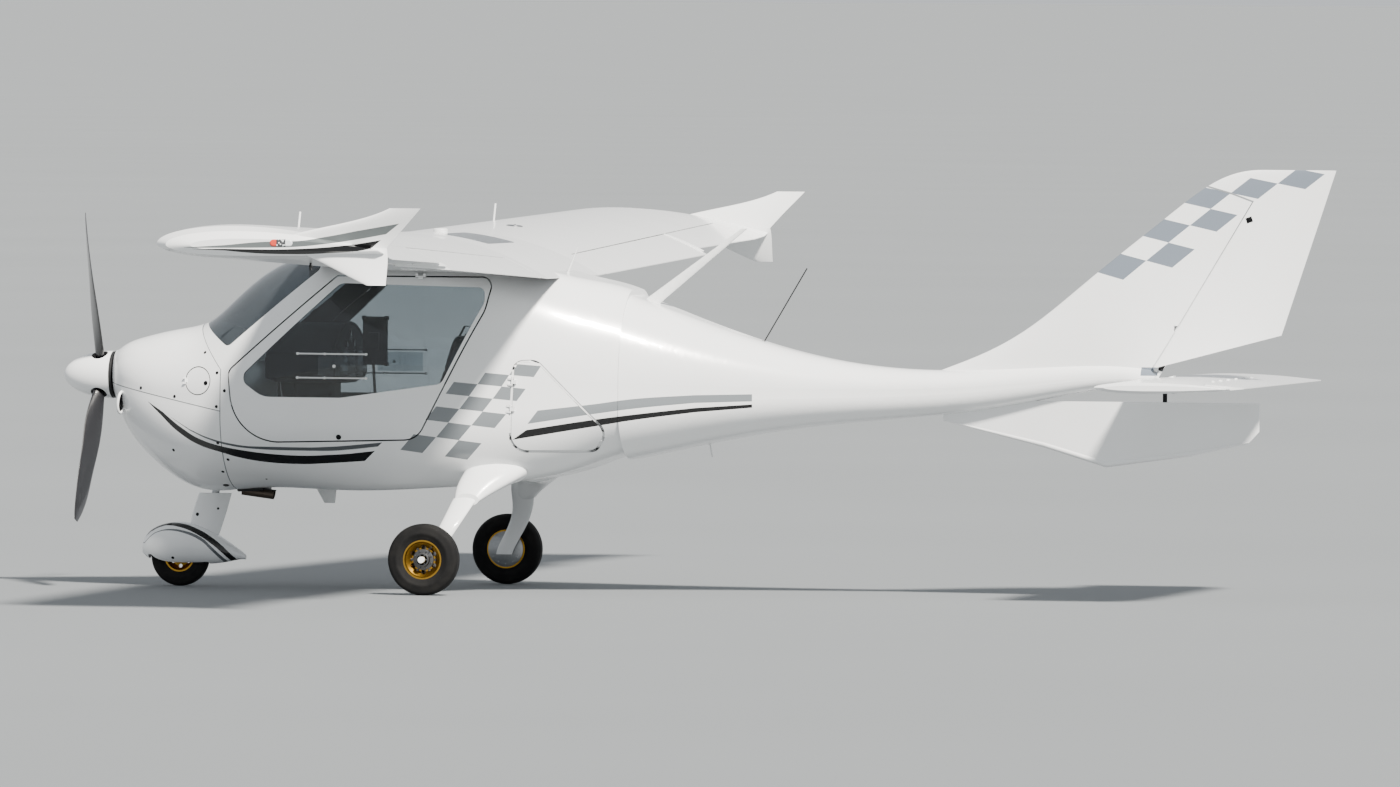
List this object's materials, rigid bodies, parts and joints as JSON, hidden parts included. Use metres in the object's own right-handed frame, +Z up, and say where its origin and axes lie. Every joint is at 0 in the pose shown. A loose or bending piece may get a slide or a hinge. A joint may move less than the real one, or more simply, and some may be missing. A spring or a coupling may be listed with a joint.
{
  "type": "two-seat composite ultralight aircraft",
  "caption": "High-wing composite ultralight aircraft with a tractor propeller, tricycle gear, gull-wing doors, split wing-tip fins, flaps, ailerons, rudder and all-moving tailplane.",
  "frame": {"origin": "on the ground, at the bottom centre of the bounding box", "axes": "+X forward to the spinner, +Y to the left wing tip, +Z up"},
  "size_m": [6.2003, 8.499, 2.0428],
  "materials": {
    "white_gelcoat": "glossy white gelcoat over composite",
    "window_glass": "clear, slightly tinted acrylic",
    "carbon": "lacquered black carbon",
    "dark_plastic": "satin black",
    "cushion_fabric": "woven dark grey",
    "tyre_rubber": "worn black rubber",
    "gold_alloy": "gold anodised",
    "steel": "satin",
    "engine_alloy": "cast grey",
    "engine_block": "cast grey, heavy for its size",
    "lamp_lens": "tinted lens"
  },
  "bodies": {
    "airframe": {"back_cushions": "cushion_fabric", "belly_aerial": "white_gelcoat", "brake_left": "engine_alloy", "brake_right": "engine_alloy", "centre_console": "dark_plastic", "com_aerial": "white_gelcoat", "control_sticks": "dark_plastic", "engine": "engine_block", "fuel_vent_left": "steel", "fuel_vent_right": "steel", "fuselage": "white_gelcoat", "instrument_panel": "dark_plastic", "lower_cowl": "white_gelcoat", "main_leg_left": "white_gelcoat", "main_leg_right": "white_gelcoat", "nose_strut_bearing": "steel", "roof_aerial": "white_gelcoat", "rudder_pedals": "steel", "seat_cushions": "cushion_fabric", "seat_shells": "dark_plastic", "skylight": "window_glass", "tail_cone": "white_gelcoat", "tie_down_eye_left": "dark_plastic", "tie_down_eye_right": "dark_plastic", "tip_light_left": "lamp_lens", "tip_light_right": "lamp_lens", "upper_cowl": "white_gelcoat", "ventral_fin": "white_gelcoat", "whip_aerial": "dark_plastic", "windshield": "window_glass", "wing_left": "white_gelcoat", "wing_right": "white_gelcoat", "wing_tip_left": "white_gelcoat", "wing_tip_right": "white_gelcoat"},
    "propeller": {"propeller": "carbon", "spinner": "white_gelcoat", "spinner_backplate": "dark_plastic"},
    "nose_gear": {"nose_fork": "steel", "nose_leg_fairing": "white_gelcoat", "nose_pant": "white_gelcoat"},
    "nose_wheel": {"nose_tyre": "tyre_rubber", "nose_rim": "gold_alloy"},
    "main_wheel_left": {"main_tyre_left": "tyre_rubber", "main_rim_left": "gold_alloy"},
    "main_wheel_right": {"main_tyre_right": "tyre_rubber", "main_rim_right": "gold_alloy"},
    "rudder": {"rudder": "white_gelcoat"},
    "stabilator": {"stabilator": "white_gelcoat"},
    "trim_tab": {"trim_tab": "white_gelcoat"},
    "flap_left": {"flap_left": "white_gelcoat"},
    "flap_right": {"flap_right": "white_gelcoat"},
    "aileron_left": {"aileron_left": "white_gelcoat"},
    "aileron_right": {"aileron_right": "white_gelcoat"},
    "door_left": {"door_left": "white_gelcoat", "door_window_left": "window_glass"},
    "door_right": {"door_right": "white_gelcoat", "door_window_right": "window_glass"},
    "hatch_left": {"baggage_hatch_left": "white_gelcoat"},
    "hatch_right": {"baggage_hatch_right": "white_gelcoat"},
    "oil_lid": {"oil_lid": "white_gelcoat"}
  },
  "joints": [
    {"name": "propeller_spin", "type": "hinge", "parent": "airframe", "child": "propeller", "pos_m": [2.9, 0, 1.01], "axis": [1, 0, 0], "continuous": true},
    {"name": "nose_steering", "type": "hinge", "parent": "airframe", "child": "nose_gear", "pos_m": [2.345, 0, 0.47], "axis": [-0.2216, 0, 0.9751], "range_deg": [-15, 15]},
    {"name": "nose_wheel_spin", "type": "hinge", "parent": "nose_gear", "child": "nose_wheel", "pos_m": [2.52, 0, 0.14], "axis": [0, 1, 0], "continuous": true},
    {"name": "main_wheel_left_spin", "type": "hinge", "parent": "airframe", "child": "main_wheel_left", "pos_m": [1.114, 0.894, 0.17], "axis": [0, 1, 0], "continuous": true},
    {"name": "main_wheel_right_spin", "type": "hinge", "parent": "airframe", "child": "main_wheel_right", "pos_m": [1.114, -0.894, 0.17], "axis": [0, 1, 0], "continuous": true},
    {"name": "rudder_hinge", "type": "hinge", "parent": "airframe", "child": "rudder", "pos_m": [-2.281, 0, 1.12], "axis": [-0.5229, 0, 0.8524], "range_deg": [-28, 28]},
    {"name": "stabilator_hinge", "type": "hinge", "parent": "airframe", "child": "stabilator", "pos_m": [-2.29, 0, 1.027], "axis": [0, 1, 0], "range_deg": [-6, 14]},
    {"name": "trim_tab_hinge", "type": "hinge", "parent": "stabilator", "child": "trim_tab", "pos_m": [-2.672, 0, 1.027], "axis": [0, 1, 0], "range_deg": [-9, 21]},
    {"name": "flap_left_hinge", "type": "hinge", "parent": "airframe", "child": "flap_left", "pos_m": [0.73, 0.56, 1.517], "axis": [0, -0.9994, -0.0359], "range_deg": [0, 35]},
    {"name": "flap_right_hinge", "type": "hinge", "parent": "airframe", "child": "flap_right", "pos_m": [0.73, -0.56, 1.517], "axis": [0, -0.9994, 0.0359], "range_deg": [0, 35]},
    {"name": "aileron_left_hinge", "type": "hinge", "parent": "airframe", "child": "aileron_left", "pos_m": [0.73, 0.56, 1.517], "axis": [0, 0.9994, 0.0359], "range_deg": [-20, 20]},
    {"name": "aileron_right_hinge", "type": "hinge", "parent": "airframe", "child": "aileron_right", "pos_m": [0.73, -0.56, 1.517], "axis": [0, 0.9994, -0.0359], "range_deg": [-20, 20]},
    {"name": "door_left_hinge", "type": "hinge", "parent": "airframe", "child": "door_left", "pos_m": [1.25, 0.545, 1.5055], "axis": [1, 0, 0], "range_deg": [0, 75]},
    {"name": "door_right_hinge", "type": "hinge", "parent": "airframe", "child": "door_right", "pos_m": [1.25, -0.545, 1.5055], "axis": [-1, 0, 0], "range_deg": [0, 75]},
    {"name": "hatch_left_hinge", "type": "hinge", "parent": "airframe", "child": "hatch_left", "pos_m": [0.7711, 0.576, 0.88], "axis": [0.05, 0, -0.9987], "range_deg": [0, 90]},
    {"name": "hatch_right_hinge", "type": "hinge", "parent": "airframe", "child": "hatch_right", "pos_m": [0.7711, -0.576, 0.88], "axis": [-0.05, 0, 0.9987], "range_deg": [0, 90]},
    {"name": "oil_lid_hinge", "type": "hinge", "parent": "airframe", "child": "oil_lid", "pos_m": [2.392, 0.4535, 0.995], "axis": [0, 0.204, -0.979], "range_deg": [0, 100]}
  ],
  "couplings": [
    {"joint": "trim_tab_hinge", "follows": "stabilator_hinge", "ratio": 1.5},
    {"joint": "flap_right_hinge", "follows": "flap_left_hinge", "ratio": 1},
    {"joint": "aileron_right_hinge", "follows": "aileron_left_hinge", "ratio": -1}
  ]
}
